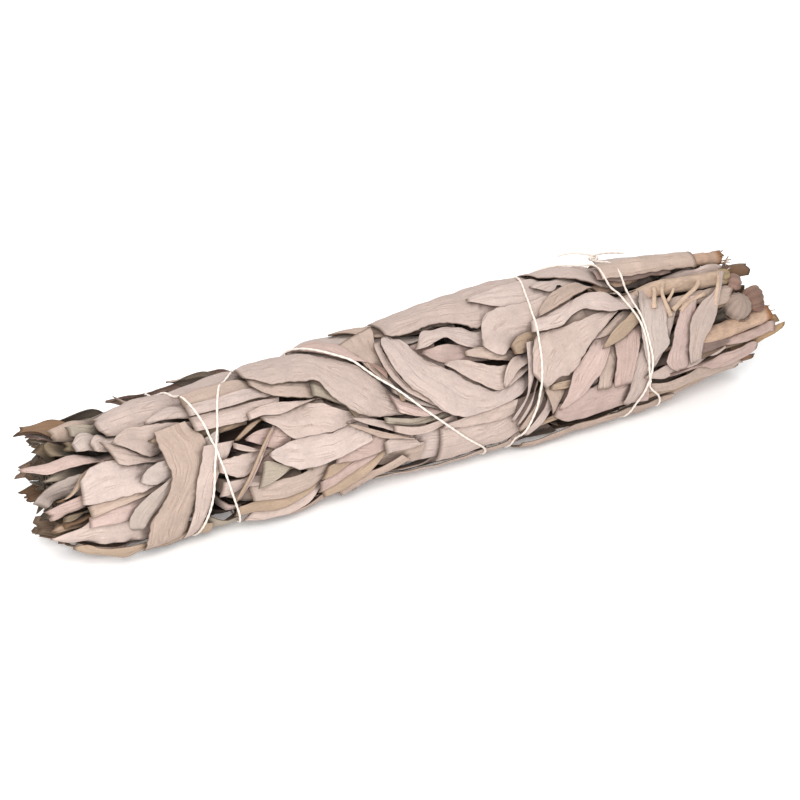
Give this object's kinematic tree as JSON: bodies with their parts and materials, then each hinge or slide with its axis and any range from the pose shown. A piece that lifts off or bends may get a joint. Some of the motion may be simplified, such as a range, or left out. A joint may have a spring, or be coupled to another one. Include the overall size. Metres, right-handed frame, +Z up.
{
  "type": "sage smudge stick",
  "caption": "A dried white sage bundle lying on its side, its leafy sprigs packed into a thick stick and bound crosswise with cotton thread, with stem ends out at one end",
  "frame": {"origin": "Centre of the bounding box in X and Y, at the height of the surface that the bundle rests on", "axes": "+X runs along the bundle from the leaf tips to the cut stem ends, -Y is the side that the picture shows, and +Z is up"},
  "size_m": [0.2352, 0.0478, 0.0448],
  "materials": {
    "sage_leaf": "dry, matt and finely felted leaf, pale grey with a pink-beige tint",
    "sage_stem": "dry, matt woody stem, ochre",
    "cotton_thread": "matt twisted cotton, off-white"
  },
  "bodies": {
    "root": {"sprig_1_leaves": "sage_leaf", "sprig_2_leaves": "sage_leaf", "sprig_3_leaves": "sage_leaf", "sprig_4_leaves": "sage_leaf", "sprig_5_leaves": "sage_leaf", "sprig_6_leaves": "sage_leaf", "sprig_7_leaves": "sage_leaf", "sprig_8_leaves": "sage_leaf", "sprig_9_leaves": "sage_leaf", "sprig_1_stem": "sage_stem", "sprig_2_stem": "sage_stem", "sprig_3_stem": "sage_stem", "sprig_4_stem": "sage_stem", "sprig_5_stem": "sage_stem", "sprig_6_stem": "sage_stem", "sprig_7_stem": "sage_stem", "sprig_8_stem": "sage_stem", "sprig_9_stem": "sage_stem", "cotton_thread": "cotton_thread"}
  },
  "joints": []
}
